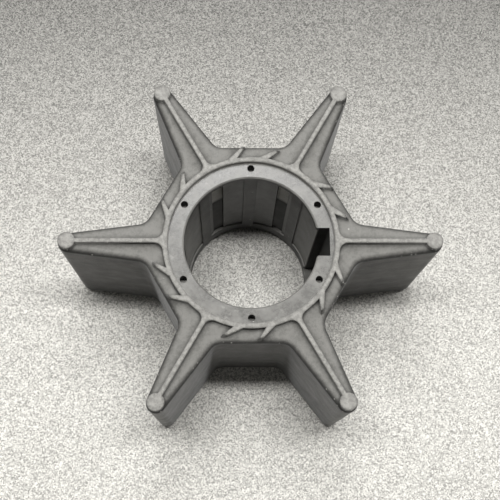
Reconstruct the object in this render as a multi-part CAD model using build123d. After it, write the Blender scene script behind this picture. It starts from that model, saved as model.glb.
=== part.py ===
"""Flexible six-vane impeller for a small marine raw-water pump.

Two pieces, moulded together: a hard hub insert with a keyed bore, and the
rubber vane moulding bonded round it.  Z is the shaft axis, the underside of
the sealing ribs is at Z = 0, and +X runs through the keyway and one vane.
"""

from build123d import *
from build123d.topology import SkipClean
from math import asin, atan2, cos, hypot, radians, sin, tan
import os

# Driving dimensions, in millimetres and degrees
overall_height = 39.4        # rib face to rib face, along the shaft
vane_count = 6
bore_diameter = 28.0
insert_wall = 3.35           # from the bore to the rubber
insert_recess = 1.1          # insert face below the rib face, at each end

# Keyway
key_width = 6.0
key_depth = 2.4              # from the bore wall to the outer wall
key_floor = 2.0              # web that closes the keyway at its lower end
key_corner = 0.35            # rounded corners where the keyway meets the bore

# Bore relief: shallow pockets between lands, and a slot behind each vane
bore_chamfer = 0.3
band_height = 4.0            # plain band at the lower end of the bore
rim_height = 1.6             # plain rim at the upper end of the bore
land_count = 8
land_angle = 11.2
pocket_depth = 0.35
slot_angle = 11.2
slot_depth = 0.8
ramp_height = 11.0           # upper part of each slot, where its floor slopes
ramp_depth = 2.0

# Locating holes in the insert's upper face, midway between vanes
hole_diameter = 1.5
hole_depth = 3.0
hole_inset = 1.2             # from the insert's outer edge to the hole centres

# Rubber hub and vanes
hub_flats = 42.5             # across the flats between vanes
tip_circle_radius = 38.2     # to the centre of each vane's rounded tip
tip_radius = 2.08
vane_root_thickness = 8.6    # where a vane leaves the hub
root_fillet = 3.0
shoulder_round = 1.2         # rounded top and bottom edge of the hub and vanes

# Sealing ribs on both faces: a ring, a ridge along each vane, a pad at its tip
rib_height = 1.2
ring_width = 1.1
ridge_width = 1.0
ridge_fillet = 1.75
pad_diameter = 3.6

# Swept fins outside the ring, two between each pair of vanes
fin_angles = (23.7, 44.4)    # middle of each fin's root, from the vane before
fin_root_angle = 8.0
fin_tip_angle = 1.9
fin_sweep = 10.2             # how far round the tip trails behind the root
fin_reach = 2.45             # from the ring outwards
fin_slope = 0.6              # bevelled outer end of each fin, in and down

# Sizes that follow from the ones above
bore_radius = bore_diameter / 2
insert_radius = bore_radius + insert_wall
insert_bottom = insert_recess
insert_top = overall_height - insert_recess
relief_bottom = insert_bottom + band_height
relief_top = insert_top - rim_height
ring_radius = insert_radius + ring_width
fin_tip_radius = ring_radius + fin_reach
vane_pitch = 360 / vane_count


def polar(radius, angle):
    """Point at a radius and angle about the shaft axis."""
    return (radius * cos(radians(angle)), radius * sin(radians(angle)))


def around(shape, angles):
    """Copies of a shape turned about the shaft axis."""
    return [Rot(Z=angle) * shape for angle in angles]


def vane_angles(offset=0.0):
    """One angle for each vane, shifted by an offset."""
    return [offset + index * vane_pitch for index in range(vane_count)]


def wedge(profile_points, width_angle, centre_angle):
    """Profile in X and Z swept round the shaft axis, centred on an angle."""
    profile = Plane.XZ * make_face(Polyline(*profile_points, close=True))
    start_angle = centre_angle - width_angle / 2
    return Rot(Z=start_angle) * revolve(profile, Axis.Z, width_angle)


# Hub insert


def insert_blank():
    """Plain bush with a chamfered bore, whose wall is a band, a middle and a rim."""
    chamfer_radius = bore_radius + bore_chamfer
    profile = Plane.XZ * make_face(
        Polyline(
            (chamfer_radius, insert_bottom),
            (insert_radius, insert_bottom),
            (insert_radius, insert_top),
            (chamfer_radius, insert_top),
            (bore_radius, insert_top - bore_chamfer),
            (bore_radius, relief_top),
            (bore_radius, relief_bottom),
            (bore_radius, insert_bottom + bore_chamfer),
            close=True,
        )
    )
    return revolve(profile, Axis.Z, clean=False)


def bore_pockets():
    """Shallow pockets between the lands that centre the shaft sleeve."""
    inner = bore_radius - pocket_depth
    outer = bore_radius + pocket_depth
    points = [
        (inner, relief_bottom),
        (outer, relief_bottom),
        (outer, relief_top),
        (inner, relief_top),
    ]
    land_pitch = 360 / land_count
    pocket = wedge(points, land_pitch - land_angle, land_pitch / 2)
    return around(pocket, [index * land_pitch for index in range(land_count)])


def vane_slots():
    """Slot in the bore behind each vane, with a ramped upper part."""
    inner = bore_radius - pocket_depth
    points = [
        (inner, relief_bottom),
        (bore_radius + slot_depth, relief_bottom),
        (bore_radius + slot_depth, relief_top - ramp_height),
        (bore_radius + ramp_depth, relief_top),
        (inner, relief_top),
    ]
    return around(wedge(points, slot_angle, 0), vane_angles())


def keyway():
    """Keyway with its two corners at the bore eased, open upward."""
    outer = bore_radius + key_depth
    bore_and_slot = Circle(bore_radius) + Pos(outer / 2, 0) * Rectangle(outer, key_width)
    mouth = [v for v in bore_and_slot.vertices() if v.X < outer - key_depth / 2]
    height = insert_top - insert_bottom - key_floor
    plan = fillet(mouth, key_corner)
    return Pos(Z=insert_bottom + key_floor) * extrude(plan, height)


def locating_holes():
    """Small blind holes in the upper face of the insert."""
    hole = Cylinder(hole_diameter / 2, hole_depth, align=(Align.CENTER, Align.CENTER, Align.MAX))
    centre = Pos(insert_radius - hole_inset, 0, insert_top)
    return around(centre * hole, vane_angles(vane_pitch / 2))


def make_hub_insert():
    """Hard bush with a relieved, keyed bore; band, lands and rim stay separate faces."""
    cutters = bore_pockets() + vane_slots() + [keyway()] + locating_holes()
    with SkipClean():
        return insert_blank() - cutters


# Rubber vane moulding


def vane_outline():
    """Plan of one vane along +X, from the hub to its rounded tip."""
    root_x = hub_flats / 2
    root_y = vane_root_thickness / 2
    reach = tip_circle_radius - root_x
    lean = atan2(root_y, reach) - asin(tip_radius / hypot(reach, root_y))
    end_x = tip_circle_radius + tip_radius * sin(lean)
    end_y = tip_radius * cos(lean)
    axis_y = root_y + root_x * tan(lean)
    sides = Polyline((end_x, end_y), (0, axis_y), (0, -axis_y), (end_x, -end_y))
    tip = ThreePointArc((end_x, -end_y), (tip_circle_radius + tip_radius, 0), (end_x, end_y))
    return make_face([sides, tip])


def body_outline():
    """Plan of hub and vanes, with filleted corners where they meet."""
    hub = RegularPolygon(hub_flats / 2, vane_count, major_radius=False, rotation=0)
    star = Sketch() + ([hub] + around(vane_outline(), vane_angles()))
    corners = [v for v in star.vertices() if v.center().length < hub_flats / 2 + root_fillet]
    return fillet(corners, root_fillet)


def rib_outline():
    """Plan of the sealing ring, the ridges and the tip pads."""
    ridge = Pos(tip_circle_radius / 2, 0) * Rectangle(tip_circle_radius, ridge_width)
    pad = Pos(tip_circle_radius, 0) * Circle(pad_diameter / 2)
    bars = Sketch() + ([Circle(ring_radius)] + around(ridge, vane_angles()))
    corners = [v for v in bars.vertices() if v.center().length < ring_radius + ridge_fillet]
    return fillet(corners, ridge_fillet) + around(pad, vane_angles())


def fin_outline(root_angle):
    """Plan of one swept fin, from inside the ring to its blunt tip."""
    tip_angle = root_angle - fin_sweep
    ring_middle = ring_radius - ring_width / 2
    return make_face(
        Polyline(
            polar(ring_middle, root_angle - fin_root_angle / 2),
            polar(ring_middle, root_angle + fin_root_angle / 2),
            polar(fin_tip_radius, tip_angle + fin_tip_angle / 2),
            polar(fin_tip_radius, tip_angle - fin_tip_angle / 2),
            close=True,
        )
    )


def fin(root_angle):
    """One swept fin at full height, its outer end bevelled."""
    blank = extrude(fin_outline(root_angle), overall_height)
    level = blank.edges().filter_by(Plane.XY)
    outer = level.sort_by(lambda edge: hypot(edge.center().X, edge.center().Y))[-2:]
    return chamfer(outer, fin_slope)


def fins():
    """All the swept fins."""
    shapes = []
    for fin_angle in fin_angles:
        shapes += around(fin(fin_angle), vane_angles())
    return shapes


def body_edges(body):
    """Outer edges of the hub and vanes, at the top and the bottom."""
    faces = body.faces().filter_by(Axis.Z)
    return [edge for face in faces for edge in face.outer_wire().edges()]


def make_vane_moulding():
    """Hub and vanes with rounded edges, sealing ribs and fins."""
    body = Pos(Z=rib_height) * extrude(body_outline(), overall_height - 2 * rib_height)
    body = fillet(body_edges(body), shoulder_round)
    ribs = extrude(rib_outline(), overall_height)
    bore = Cylinder(insert_radius, overall_height, align=(Align.CENTER, Align.CENTER, Align.MIN))
    return body + ribs + fins() - bore


def main():
    """Write each piece to its own STEP file."""
    os.makedirs("parts", exist_ok=True)
    export_step(make_hub_insert(), "parts/hub_insert.step")
    export_step(make_vane_moulding(), "parts/vane_moulding.step")


if __name__ == "__main__":
    main()
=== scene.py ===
"""Dressed scene of a flexible pump impeller: soft-edged rubber, plastic insert, studio floor."""

import math

import bmesh
import bpy
from mathutils import Matrix, Vector


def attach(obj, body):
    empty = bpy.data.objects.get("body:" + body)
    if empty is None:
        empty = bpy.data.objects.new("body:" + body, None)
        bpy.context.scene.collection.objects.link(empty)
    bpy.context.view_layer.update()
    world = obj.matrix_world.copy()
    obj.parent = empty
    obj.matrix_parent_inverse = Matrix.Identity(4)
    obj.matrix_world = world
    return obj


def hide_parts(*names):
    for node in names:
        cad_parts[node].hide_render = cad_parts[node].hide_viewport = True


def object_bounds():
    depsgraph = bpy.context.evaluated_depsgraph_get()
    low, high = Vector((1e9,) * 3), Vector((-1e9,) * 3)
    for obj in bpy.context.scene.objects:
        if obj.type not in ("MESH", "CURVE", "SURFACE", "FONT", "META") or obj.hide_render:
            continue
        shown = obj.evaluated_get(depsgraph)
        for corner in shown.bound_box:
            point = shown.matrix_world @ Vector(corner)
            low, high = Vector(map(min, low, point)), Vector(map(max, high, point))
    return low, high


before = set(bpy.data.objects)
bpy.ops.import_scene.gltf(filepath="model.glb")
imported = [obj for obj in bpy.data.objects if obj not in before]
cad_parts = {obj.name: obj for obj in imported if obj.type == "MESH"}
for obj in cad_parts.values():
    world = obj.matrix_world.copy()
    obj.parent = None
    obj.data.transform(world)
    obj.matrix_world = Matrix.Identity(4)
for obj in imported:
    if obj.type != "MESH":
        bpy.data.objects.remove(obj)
cad_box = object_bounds()

MM = 0.001
WARMTH = 0.045


def grey(level):
    """A near-neutral colour, slightly warm."""
    return (level * (1 + 0.5 * WARMTH), level, level * (1 - 1.5 * WARMTH), 1.0)


# Camera of the reference view; lens and sensor in millimetres
LENS = 64.03
SENSOR = 36.0
CAMERA_PLACE = (-4.865 * MM, -50.165 * MM, 216.257 * MM)
CAMERA_RIGHT = (0.99969, -0.005314, 0.02433)
CAMERA_UP = (-0.001252, 0.965004, 0.262231)
CAMERA_BACK = (-0.024872, -0.26218, 0.964698)
CLIP_START = 0.01
CLIP_END = 10.0

# Places on the part: heights above the floor, and radii from the shaft axis
VANE_COUNT = 6
TOP = cad_box[1].z
MIDDLE = TOP / 2
BODY_TOP = TOP - 1.2 * MM            # foot of the upper ribs
INSERT_BOTTOM = 1.1 * MM
INSERT_TOP = TOP - INSERT_BOTTOM
KEYWAY_FLOOR = INSERT_BOTTOM + 2.0 * MM
BAND_TOP = INSERT_BOTTOM + 4.0 * MM
HOLE_BOTTOM = INSERT_TOP - 3.0 * MM
INSERT_RADIUS = 17.35 * MM
BORE_RADIUS = 14.0 * MM
KEY_HALF_WIDTH = 3.0 * MM

# Rounded outer edges of the ribs, and how the CAD mesh is cleaned for them
EDGE_RADIUS = 0.22 * MM
EDGE_STEPS = 3
SAME_POINT = 0.002 * MM
SAME_PLANE = 0.01 * MM
FLAT_ANGLE = math.radians(0.5)
RIB_EDGE_ANGLE = math.radians(40)
SMOOTH_ANGLE = math.radians(32)

# Noises: feature size, detail, roughness.  Most of a noise lies in NOISE_RANGE
NOISE_RANGE = (0.3, 0.7)
RUBBER_PATCHES = (3.5 * MM, 5.0, 0.6)
RUBBER_MOTTLE = (0.8 * MM, 4.0, 0.65)
RUBBER_GRAIN = (0.22 * MM, 2.0, 0.55)
RUBBER_SMEARS = (5.0 * MM, 4.0, 0.6)
RUBBER_SCRATCHES = (1.0 * MM, 4.0, 0.6)
PLASTIC_PATCHES = (3.0 * MM, 5.0, 0.62)
PLASTIC_MOTTLE = (0.7 * MM, 4.0, 0.6)
PLASTIC_GRAIN = (0.16 * MM, 2.0, 0.55)
PLASTIC_SCUFFS = (1.3 * MM, 3.0, 0.6)

# Smears and scratches run level along the walls
SMEAR_STRETCH = (0.3, 0.3, 1.4)
SCRATCH_STRETCH = (0.25, 0.25, 2.4)

# Reach of the shading's soft edges and of the painted shade in corners
RUBBER_SOFT_EDGE = 0.25 * MM
RUBBER_BROAD_EDGE = 1.9 * MM
RUBBER_CORNER = 0.9 * MM
PLASTIC_SOFT_EDGE = 0.12 * MM

# Scattered dots: spacing, radius
EDGE_WEAR_AND_GLINTS = (0.7 * MM, 0.17 * MM)
RUBBER_DUST = (3.2 * MM, 0.14 * MM)
PLASTIC_DUST = (2.6 * MM, 0.13 * MM)

# Heights between which a tone comes in
SCRATCHES_IN = (14 * MM, 30 * MM)
UPPER_SHADE_IN = (BODY_TOP - 6.2 * MM, BODY_TOP - 0.8 * MM)
LOWER_SHADE_IN = (18 * MM, 1 * MM)
RIB_WALL_IN = (BODY_TOP - 0.1 * MM, BODY_TOP + 0.3 * MM)
BAND_IN = (BAND_TOP + 0.6 * MM, BAND_TOP - 0.1 * MM)
UPPER_FACE_IN = (HOLE_BOTTOM + 1.2 * MM, HOLE_BOTTOM + 1.6 * MM)
LOWER_FACES_IN = (KEYWAY_FLOOR + 0.5 * MM, KEYWAY_FLOOR + 0.3 * MM)

# Distances above and below the middle, for the worn rib faces
WORN_IN = (MIDDLE - 0.3 * MM, MIDDLE - 0.03 * MM)

# Radii between which a tone comes in
SEAT_IN = (INSERT_RADIUS + 0.1 * MM, INSERT_RADIUS + 0.05 * MM)
POCKET_IN = (BORE_RADIUS + 0.1 * MM, BORE_RADIUS + 0.3 * MM)
SLOT_IN = (BORE_RADIUS + 0.5 * MM, BORE_RADIUS + 0.7 * MM)
RAMP_IN = (BORE_RADIUS + 0.82 * MM, BORE_RADIUS + 0.95 * MM)

# Distances from the keyway's middle, and across the bore, between which a tone and the painted
# side light come in
BESIDE_KEY_IN = (KEY_HALF_WIDTH + 0.1 * MM, KEY_HALF_WIDTH + 0.3 * MM)
AWAY_FROM_KEY_IN = (0.1 * MM, 0.0)
BORE_SIDE_LIGHT_IN = (0.5 * BORE_RADIUS, 0.95 * BORE_RADIUS)

# Strengths of the marks and of the painted shade
UPPER_SHADE_STRENGTH = 0.8
LOWER_SHADE_STRENGTH = 0.7
SCRATCH_STRENGTH = 0.8
EDGE_SHADE_STRENGTH = 0.7
CREVICE_SHADE_STRENGTH = 0.7
RUBBER_SPECK_STRENGTH = 0.75
BAND_SHADE_STRENGTH = 0.4
SCUFF_STRENGTH = 0.25
PLASTIC_SPECK_STRENGTH = 0.6

# Tones of the rubber
WALL_DARK = grey(0.014)
WALL_SMEARED = grey(0.06)
# Painted shade on the walls, under the top edge and toward the floor
WALL_SHADE = grey(0.006)
WALL_SCRATCHED = grey(0.15)
RIB_WALL = grey(0.06)
# Bloom together with painted light on the faces that point up
BLOOM_AND_TOP_LIGHT = grey(0.152)
WORN_DARK = grey(0.165)
WORN_PALE = grey(0.25)
# Painted shade on the rounded edges and in crevices
EDGE_SHADE = grey(0.008)
CREVICE_SHADE = grey(0.02)
SEAT = grey(0.22)
RUBBER_SPECKS_AND_GLINTS = grey(0.6)

# Tones of the plastic
LAND = grey(0.012)
POCKET_BACK = grey(0.02)
POCKET_SIDE_LIT = grey(0.09)
SLOT = grey(0.008)
# Painted light on the slot ramps
RAMP_LIGHT = grey(0.6)
# Painted shade at the foot of the bore
BAND_SHADE = grey(0.01)
# Painted light on faces inside the insert that tilt upward
LEDGE_LIGHT = grey(0.2)
FACE_DARK = grey(0.09)
FACE_PALE = grey(0.16)
SCUFF = grey(0.34)
PLASTIC_SPECKS = grey(0.7)

# Gloss: range of roughness, what the grain and marks add to it, and plain shader values
RUBBER_ROUGHNESS = (0.38, 0.52)
RUBBER_GRAIN_ROUGHNESS = 0.06
SCRATCH_ROUGHNESS = 0.2
RUBBER_SPECULAR = 0.2
RUBBER_SHEEN = 0.14
RUBBER_SHEEN_ROUGHNESS = 0.35
PLASTIC_ROUGHNESS = (0.24, 0.34)
PLASTIC_GRAIN_ROUGHNESS = 0.04
SLOT_ROUGHNESS = 0.35
LAND_ROUGHNESS = 0.15
POCKET_ROUGHNESS = 0.1
PLASTIC_SPECULAR = 0.6
FLOOR_ROUGHNESS = 0.6

# Relief: depth, strength
RUBBER_RELIEF = (0.1 * MM, 0.5)
PLASTIC_RELIEF = (0.04 * MM, 0.45)
FLOOR_RELIEF = (0.1 * MM, 0.3)

# Floor card: grain spacing, dark and pale grains at the front and at the back; painted shade
# darkens the back
FLOOR_SIZE = 3.0
FLOOR_GRAIN = 0.27 * MM
FLOOR_FRONT = (grey(0.22), grey(0.68))
FLOOR_BACK = (grey(0.03), grey(0.22))
FLOOR_SHADE_START = -40 * MM
FLOOR_SHADE_END = 110 * MM

# Studio surround: strength in front, behind, and added toward the sides
SURROUND_COLOUR = (1.0, 0.99, 0.96, 1.0)
SURROUND_FRONT = 0.06
SURROUND_BEHIND = 0.44
SURROUND_SIDES = 0.35
SURROUND_TURN = 0.45

# Lamps: places and sizes in metres, power in watts
KEY_PLACE = (0.01, 0.038, 0.55)
KEY_TARGET = (0.01, 0, 0.02)
KEY_LENGTH = 0.4
KEY_WIDTH = 0.04
KEY_POWER = 4.1
REAR_PLACE = (-0.01, 0.2, 0.42)
REAR_TARGET = (0, 0, 0.03)
REAR_SIZE = 0.18
REAR_POWER = 0.8


class Nodes:
    """A node tree with short helpers."""

    def __init__(self, tree):
        self.tree = tree

    def new(self, kind):
        return self.tree.nodes.new("ShaderNode" + kind)

    def join(self, source, target):
        self.tree.links.new(source, target)

    def feed(self, socket, value):
        """Link a socket or set a plain value."""
        if isinstance(value, bpy.types.NodeSocket):
            self.join(value, socket)
        else:
            socket.default_value = value

    def split(self, vector):
        node = self.new("SeparateXYZ")
        self.join(vector, node.inputs[0])
        return node.outputs

    def stretch(self, vector, scale):
        node = self.new("Mapping")
        self.join(vector, node.inputs["Vector"])
        node.inputs["Scale"].default_value = scale
        return node.outputs[0]

    def noise(self, vector, size, detail, roughness):
        """Noise whose features are about size metres across."""
        node = self.new("TexNoise")
        self.join(vector, node.inputs["Vector"])
        node.inputs["Scale"].default_value = 1.0 / size
        node.inputs["Detail"].default_value = detail
        node.inputs["Roughness"].default_value = roughness
        return node.outputs["Fac"]

    def cells(self, vector, spacing):
        """Outputs of a cell texture with cells spacing metres apart."""
        node = self.new("TexVoronoi")
        self.join(vector, node.inputs["Vector"])
        node.inputs["Scale"].default_value = 1.0 / spacing
        return node.outputs

    def specks(self, vector, spacing, radius):
        """One where a scattered dot is."""
        reach = radius / spacing
        return self.fit(self.cells(vector, spacing)["Distance"], reach, 0.5 * reach)

    def fit(self, value, from_low, from_high, low=0.0, high=1.0, smooth=False):
        """Map a range to another, clamped."""
        node = self.new("MapRange")
        if smooth:
            node.interpolation_type = "SMOOTHSTEP"
        self.feed(node.inputs["Value"], value)
        node.inputs["From Min"].default_value = from_low
        node.inputs["From Max"].default_value = from_high
        node.inputs["To Min"].default_value = low
        node.inputs["To Max"].default_value = high
        return node.outputs[0]

    def vary(self, noise, low, high):
        """Spread a noise from low to high."""
        return self.fit(noise, *NOISE_RANGE, low, high)

    def math(self, operation, *values):
        node = self.new("Math")
        node.operation = operation
        for socket, value in zip(node.inputs, values):
            self.feed(socket, value)
        return node.outputs[0]

    def fold(self, operation, values):
        """Apply an operation from the first value to the last."""
        result = values[0]
        for value in values[1:]:
            result = self.math(operation, result, value)
        return result

    def plus(self, *values):
        return self.fold("ADD", values)

    def times(self, *values):
        return self.fold("MULTIPLY", values)

    def either(self, *values):
        """The largest of the values."""
        return self.fold("MAXIMUM", values)

    def unsigned(self, value):
        return self.math("ABSOLUTE", value)

    def mix(self, factor, first, second):
        """Blend two colours."""
        node = self.new("Mix")
        node.data_type = "RGBA"
        self.feed(node.inputs[0], factor)
        self.feed(node.inputs[6], first)
        self.feed(node.inputs[7], second)
        return node.outputs[2]


class Surface(Nodes):
    """A material's node tree round one shader, with its position on the part."""

    bevel_samples = 6
    corner_samples = 8

    def __init__(self, name):
        self.material = bpy.data.materials.new(name)
        self.material.use_nodes = True
        super().__init__(self.material.node_tree)
        self.tree.nodes.clear()
        self.shader = self.new("BsdfPrincipled")
        output = self.new("OutputMaterial")
        self.join(self.shader.outputs[0], output.inputs["Surface"])
        self.place = self.new("TexCoord").outputs["Object"]
        self.x, self.y, self.z = self.split(self.place)

    def set(self, name, value):
        """Link a socket to a shader input, or set a plain value on it."""
        self.feed(self.shader.inputs[name], value)

    def radius(self):
        """Distance from the shaft axis."""
        squares = self.plus(self.times(self.x, self.x), self.times(self.y, self.y))
        return self.math("SQRT", squares)

    def soft_edges(self, radius):
        """Normal rounded over near edges."""
        node = self.new("Bevel")
        node.samples = self.bevel_samples
        node.inputs["Radius"].default_value = radius
        return node.outputs[0]

    def level(self, normal):
        """One where a normal points straight up or down, zero where it is upright."""
        return self.unsigned(self.split(normal)[2])

    def openness(self, distance):
        """One on open surface, less in a corner narrower than distance."""
        node = self.new("AmbientOcclusion")
        node.samples = self.corner_samples
        node.only_local = True
        node.inputs["Distance"].default_value = distance
        return node.outputs["AO"]

    def gloss(self, grain, amount, patches, spread):
        """Roughness that varies with the patches, and by an amount with the grain."""
        return self.plus(self.fit(grain, 0.2, 0.8, -amount, amount), self.vary(patches, *spread))

    def bump(self, height, depth, strength, normal=None):
        node = self.new("Bump")
        node.inputs["Strength"].default_value = strength
        node.inputs["Distance"].default_value = depth
        self.feed(node.inputs["Height"], height)
        if normal is not None:
            self.join(normal, node.inputs["Normal"])
        return node.outputs[0]


def rubber():
    """Black moulded rubber: bloom and painted light on the tops, painted shade on the walls,
    edges and in crevices, scratched walls, worn ribs, dust, and pale edge specks that are partly
    painted glints.
    """
    n = Surface("moulded_rubber")
    rounded = n.soft_edges(RUBBER_SOFT_EDGE)
    level = n.level(rounded)
    patches = n.noise(n.place, *RUBBER_PATCHES)
    mottle = n.noise(n.place, *RUBBER_MOTTLE)
    grain = n.noise(n.place, *RUBBER_GRAIN)

    wall, scratched = rubber_walls(n, patches)
    tone = rubber_tops(n, wall, patches, mottle, grain)
    seat = n.times(n.fit(n.radius(), *SEAT_IN), n.fit(level, 0.9, 0.3))
    tone = n.mix(seat, tone, SEAT)
    # Pale specks on the rounded edges: partly wear, partly painted glints. The dust specks
    # elsewhere are real dust.
    edge_wear_and_glints = n.times(
        n.specks(n.place, *EDGE_WEAR_AND_GLINTS),
        n.fit(patches, 0.5, 0.56),
        n.fit(level, 0.05, 0.2),
        n.fit(level, 0.8, 0.5),
    )
    dust = n.times(n.specks(n.place, *RUBBER_DUST), n.fit(patches, 0.52, 0.58))
    tone = n.mix(n.times(n.either(edge_wear_and_glints, dust), RUBBER_SPECK_STRENGTH), tone, RUBBER_SPECKS_AND_GLINTS)
    n.set("Base Color", tone)

    gloss = n.gloss(grain, RUBBER_GRAIN_ROUGHNESS, patches, RUBBER_ROUGHNESS)
    n.set("Roughness", n.plus(gloss, n.times(scratched, SCRATCH_ROUGHNESS)))
    relief = n.plus(n.times(grain, 0.3), n.times(mottle, 0.5), n.times(patches, 0.6))
    n.set("Normal", n.bump(relief, *RUBBER_RELIEF, rounded))
    n.set("Specular IOR Level", RUBBER_SPECULAR)
    n.set("Sheen Weight", RUBBER_SHEEN)
    n.set("Sheen Roughness", RUBBER_SHEEN_ROUGHNESS)
    return n.material


def rubber_walls(n, patches):
    """Tone of the upright walls, with painted shade under the top edge and toward the floor, and
    where they are scratched.
    """
    smears = n.noise(n.stretch(n.place, SMEAR_STRETCH), *RUBBER_SMEARS)
    scratches = n.noise(n.stretch(n.place, SCRATCH_STRETCH), *RUBBER_SCRATCHES)
    scratched = n.times(
        n.fit(scratches, 0.58, 0.68),
        n.fit(n.z, *SCRATCHES_IN),
        n.fit(patches, 0.45, 0.62, 0.0, SCRATCH_STRENGTH),
    )
    wall = n.mix(n.fit(smears, 0.4, 0.66), WALL_DARK, WALL_SMEARED)
    # Painted shade: darker under the top edge and toward the floor.
    wall = n.mix(n.fit(n.z, *UPPER_SHADE_IN, 0.0, UPPER_SHADE_STRENGTH), wall, WALL_SHADE)
    wall = n.mix(n.fit(n.z, *LOWER_SHADE_IN, 0.0, LOWER_SHADE_STRENGTH), wall, WALL_SHADE)
    wall = n.mix(scratched, wall, WALL_SCRATCHED)
    wall = n.mix(n.fit(n.z, *RIB_WALL_IN), wall, RIB_WALL)
    return wall, scratched


def rubber_tops(n, wall, patches, mottle, grain):
    """Bloom and painted light on the level faces, worn rib faces, painted shade on rounded edges
    and in crevices.
    """
    broad = n.level(n.soft_edges(RUBBER_BROAD_EDGE))
    uneven = n.plus(broad, n.vary(mottle, -0.04, 0.04))
    # Painted light: level faces are paler the more they face up, as if lit from above; the
    # rubber's bloom adds to it and the noises spread it.
    bloom_and_light_spread = n.times(
        n.vary(patches, 0.82, 1.12),
        n.vary(mottle, 0.9, 1.08),
        n.fit(grain, 0.35, 0.65, 0.9, 1.12),
    )
    tone = n.mix(n.times(n.fit(uneven, 0.35, 1.0), bloom_and_light_spread), wall, BLOOM_AND_TOP_LIGHT)
    from_middle = n.unsigned(n.math("SUBTRACT", n.z, MIDDLE))
    worn = n.fit(from_middle, *WORN_IN)
    pale = n.plus(n.fit(mottle, 0.38, 0.62), n.vary(grain, -0.35, 0.35))
    tone = n.mix(worn, tone, n.mix(pale, WORN_DARK, WORN_PALE))
    # Painted shade: a dark band where the rounded edges turn from the level faces down to the
    # walls.
    edge = n.times(n.fit(uneven, 0.0, 0.4), n.fit(uneven, 0.96, 0.55), EDGE_SHADE_STRENGTH)
    tone = n.mix(edge, tone, EDGE_SHADE)
    # Painted shade: darker in corners and creases, by how open the surface is.
    crevice_shade = n.fit(n.openness(RUBBER_CORNER), 0.45, 0.92, CREVICE_SHADE_STRENGTH, 0.0)
    return n.mix(crevice_shade, tone, CREVICE_SHADE)


def plastic():
    """Satin plastic: scuffed end faces, painted light on ledges and hole bottoms, and a dark
    bore with pockets and ramps made paler by painted light.
    """
    n = Surface("satin_plastic")
    rounded = n.soft_edges(PLASTIC_SOFT_EDGE)
    level = n.level(rounded)
    patches = n.noise(n.place, *PLASTIC_PATCHES)
    mottle = n.noise(n.place, *PLASTIC_MOTTLE)
    grain = n.noise(n.place, *PLASTIC_GRAIN)

    radius = n.radius()
    pocket = n.fit(radius, *POCKET_IN)
    slot = n.fit(radius, *SLOT_IN)
    wall = bore_walls(n, radius, pocket, slot, mottle)
    # Painted light: faces in the insert that tilt up, such as ledges, chamfers and the hole
    # bottoms, are paler than the end faces.
    wall = n.mix(n.fit(level, 0.3, 0.9), wall, LEDGE_LIGHT)
    blotches = n.plus(n.fit(patches, 0.35, 0.7), n.vary(mottle, -0.2, 0.2))
    face = n.mix(blotches, FACE_DARK, FACE_PALE)
    ends = n.either(n.fit(n.z, *UPPER_FACE_IN), n.fit(n.z, *LOWER_FACES_IN))
    flat = n.times(n.fit(level, 0.45, 0.98), ends)
    tone = n.mix(flat, wall, face)
    scuffs = n.fit(n.noise(n.place, *PLASTIC_SCUFFS), 0.62, 0.7)
    scuffs = n.times(scuffs, SCUFF_STRENGTH, n.fit(level, 0.8, 0.99))
    tone = n.mix(scuffs, tone, SCUFF)
    dust = n.times(n.specks(n.place, *PLASTIC_DUST), PLASTIC_SPECK_STRENGTH)
    n.set("Base Color", n.mix(dust, tone, PLASTIC_SPECKS))

    gloss = n.gloss(grain, PLASTIC_GRAIN_ROUGHNESS, patches, PLASTIC_ROUGHNESS)
    dull = n.fit(pocket, 0.0, 1.0, LAND_ROUGHNESS, POCKET_ROUGHNESS)
    dull = n.either(n.times(slot, SLOT_ROUGHNESS), dull)
    dull = n.times(dull, n.math("SUBTRACT", 1.0, flat))
    n.set("Roughness", n.plus(gloss, dull))
    relief = n.plus(n.times(grain, 0.4), mottle)
    n.set("Normal", n.bump(relief, *PLASTIC_RELIEF, rounded))
    n.set("Specular IOR Level", PLASTIC_SPECULAR)
    return n.material


def bore_walls(n, radius, pocket, slot, mottle):
    """Tone of the bore: dark lands, pockets paler at the sides with painted light, slots with
    painted light on their ramps, and painted shade toward the foot.
    """
    beside_key = n.fit(n.unsigned(n.y), *BESIDE_KEY_IN)
    off_keyway = n.either(beside_key, n.fit(n.x, *AWAY_FROM_KEY_IN))
    behind_vane = n.math("COSINE", n.times(n.math("ARCTAN2", n.y, n.x), VANE_COUNT))
    # Painted light: pale patches on the slot ramps where light would reach them past the rim.
    ramp_light = n.times(
        n.fit(radius, *RAMP_IN),
        off_keyway,
        n.fit(behind_vane, -0.1, 0.1),
        n.vary(mottle, 0.8, 1.0),
    )
    # Painted light: pockets facing the sides of the bore are paler, as if lit from the sides.
    side_light = n.fit(n.unsigned(n.x), *BORE_SIDE_LIGHT_IN)
    wall = n.mix(pocket, LAND, n.mix(side_light, POCKET_BACK, POCKET_SIDE_LIT))
    wall = n.mix(slot, wall, SLOT)
    wall = n.mix(ramp_light, wall, RAMP_LIGHT)
    # Painted shade: the bore darkens at its foot, over the band and the bottom of the pockets.
    return n.mix(n.fit(n.z, *BAND_IN, 0.0, BAND_SHADE_STRENGTH), wall, BAND_SHADE)


def floor_card():
    """Pale grained card with painted shade that darkens it toward the back."""
    n = Surface("pale_card")
    grain = n.split(n.cells(n.place, FLOOR_GRAIN)["Color"])[0]
    # Painted shade: the card darkens from front to back.
    shade = n.fit(n.y, FLOOR_SHADE_START, FLOOR_SHADE_END, smooth=True)
    n.set("Base Color", n.mix(shade, n.mix(grain, *FLOOR_FRONT), n.mix(grain, *FLOOR_BACK)))
    n.set("Normal", n.bump(grain, *FLOOR_RELIEF))
    n.set("Roughness", FLOOR_ROUGHNESS)
    return n.material


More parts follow.
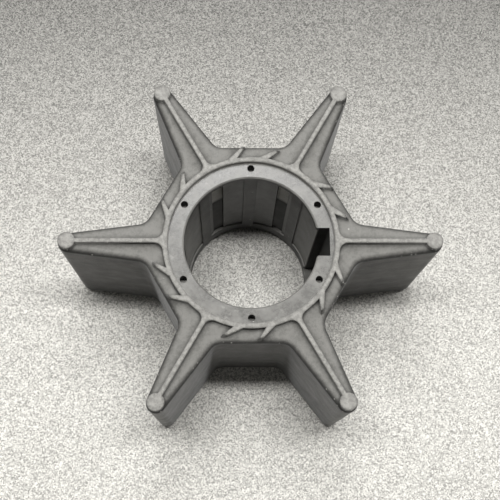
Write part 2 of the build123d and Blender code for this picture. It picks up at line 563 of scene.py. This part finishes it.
def soften(node):
    """Copy of a CAD node's mesh with its outer rib edges rounded."""
    shape = bmesh.new()
    shape.from_mesh(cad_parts[node].data)
    bmesh.ops.remove_doubles(shape, verts=shape.verts, dist=SAME_POINT)
    bmesh.ops.dissolve_limit(
        shape, angle_limit=FLAT_ANGLE, verts=shape.verts, edges=shape.edges
    )
    bmesh.ops.bevel(
        shape,
        geom=[edge for edge in shape.edges if is_rib_edge(edge)],
        offset=EDGE_RADIUS,
        offset_type="OFFSET",
        segments=EDGE_STEPS,
        profile=0.5,
        affect="EDGES",
        clamp_overlap=False,
    )
    bmesh.ops.triangulate(shape, faces=shape.faces)
    mesh = bpy.data.meshes.new(node + "_soft")
    shape.to_mesh(mesh)
    shape.free()
    mesh.shade_smooth()
    mesh.set_sharp_from_angle(angle=SMOOTH_ANGLE)
    piece = bpy.data.objects.new(node + "_soft", mesh)
    bpy.context.scene.collection.objects.link(piece)
    weighted = piece.modifiers.new("flat_faces", "WEIGHTED_NORMAL")
    weighted.keep_sharp = True
    return piece


def is_rib_edge(edge):
    """True for a sharp outer edge that lies in the top or bottom plane."""
    heights = [vert.co.z for vert in edge.verts]
    in_plane = min(heights) > TOP - SAME_PLANE or max(heights) < SAME_PLANE
    return in_plane and edge.is_convex and edge.calc_face_angle(0.0) > RIB_EDGE_ANGLE


def set_material(piece, material):
    """Give a piece one material in all its slots."""
    if not piece.material_slots:
        piece.data.materials.append(material)
    for slot in piece.material_slots:
        slot.link = "OBJECT"
        slot.material = material


def make_floor():
    bpy.ops.mesh.primitive_plane_add(size=FLOOR_SIZE, location=(0, 0, 0))
    floor = bpy.context.object
    floor.name = "floor"
    floor.data.materials.append(floor_card())


def area_light(name, place, target, power):
    """Lamp that points at a target; returns the object and its data."""
    data = bpy.data.lights.new(name, "AREA")
    data.energy = power
    light = bpy.data.objects.new(name, data)
    light.location = place
    light.rotation_mode = "QUATERNION"
    light.rotation_quaternion = (Vector(place) - Vector(target)).to_track_quat("Z", "Y")
    bpy.context.scene.collection.objects.link(light)
    return light, data


def make_lights():
    """Long key lamp overhead, unseen in reflections, and a soft disk behind that gives sheen."""
    light, data = area_light("key", KEY_PLACE, KEY_TARGET, KEY_POWER)
    data.shape = "RECTANGLE"
    data.size = KEY_LENGTH
    data.size_y = KEY_WIDTH
    light.visible_glossy = False
    _, data = area_light("rear_softbox", REAR_PLACE, REAR_TARGET, REAR_POWER)
    data.shape = "DISK"
    data.size = REAR_SIZE


def make_world():
    """Soft studio surround: bright behind and at the sides, dim in front."""
    world = bpy.data.worlds.new("studio")
    world.use_nodes = True
    n = Nodes(world.node_tree)
    x, y, _ = n.split(n.new("TexCoord").outputs["Generated"])
    depth = n.fit(y, 0.0, SURROUND_TURN, SURROUND_FRONT, SURROUND_BEHIND, smooth=True)
    background = n.tree.nodes["Background"]
    background.inputs["Color"].default_value = SURROUND_COLOUR
    strength = n.plus(n.times(n.unsigned(x), SURROUND_SIDES), depth)
    n.join(strength, background.inputs["Strength"])
    bpy.context.scene.world = world


def make_camera():
    data = bpy.data.cameras.new("camera")
    data.lens = LENS
    data.sensor_width = SENSOR
    data.clip_start = CLIP_START
    data.clip_end = CLIP_END
    camera = bpy.data.objects.new("camera", data)
    axes = Matrix((CAMERA_RIGHT, CAMERA_UP, CAMERA_BACK)).transposed()
    camera.matrix_world = Matrix.Translation(CAMERA_PLACE) @ axes.to_4x4()
    bpy.context.scene.collection.objects.link(camera)
    bpy.context.scene.camera = camera


moulding = soften("vane_moulding")
set_material(moulding, rubber())
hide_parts("vane_moulding")
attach(moulding, "root")
set_material(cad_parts["hub_insert"], plastic())
make_floor()
make_lights()
make_world()
make_camera()
bpy.context.scene.view_settings.view_transform = "Standard"
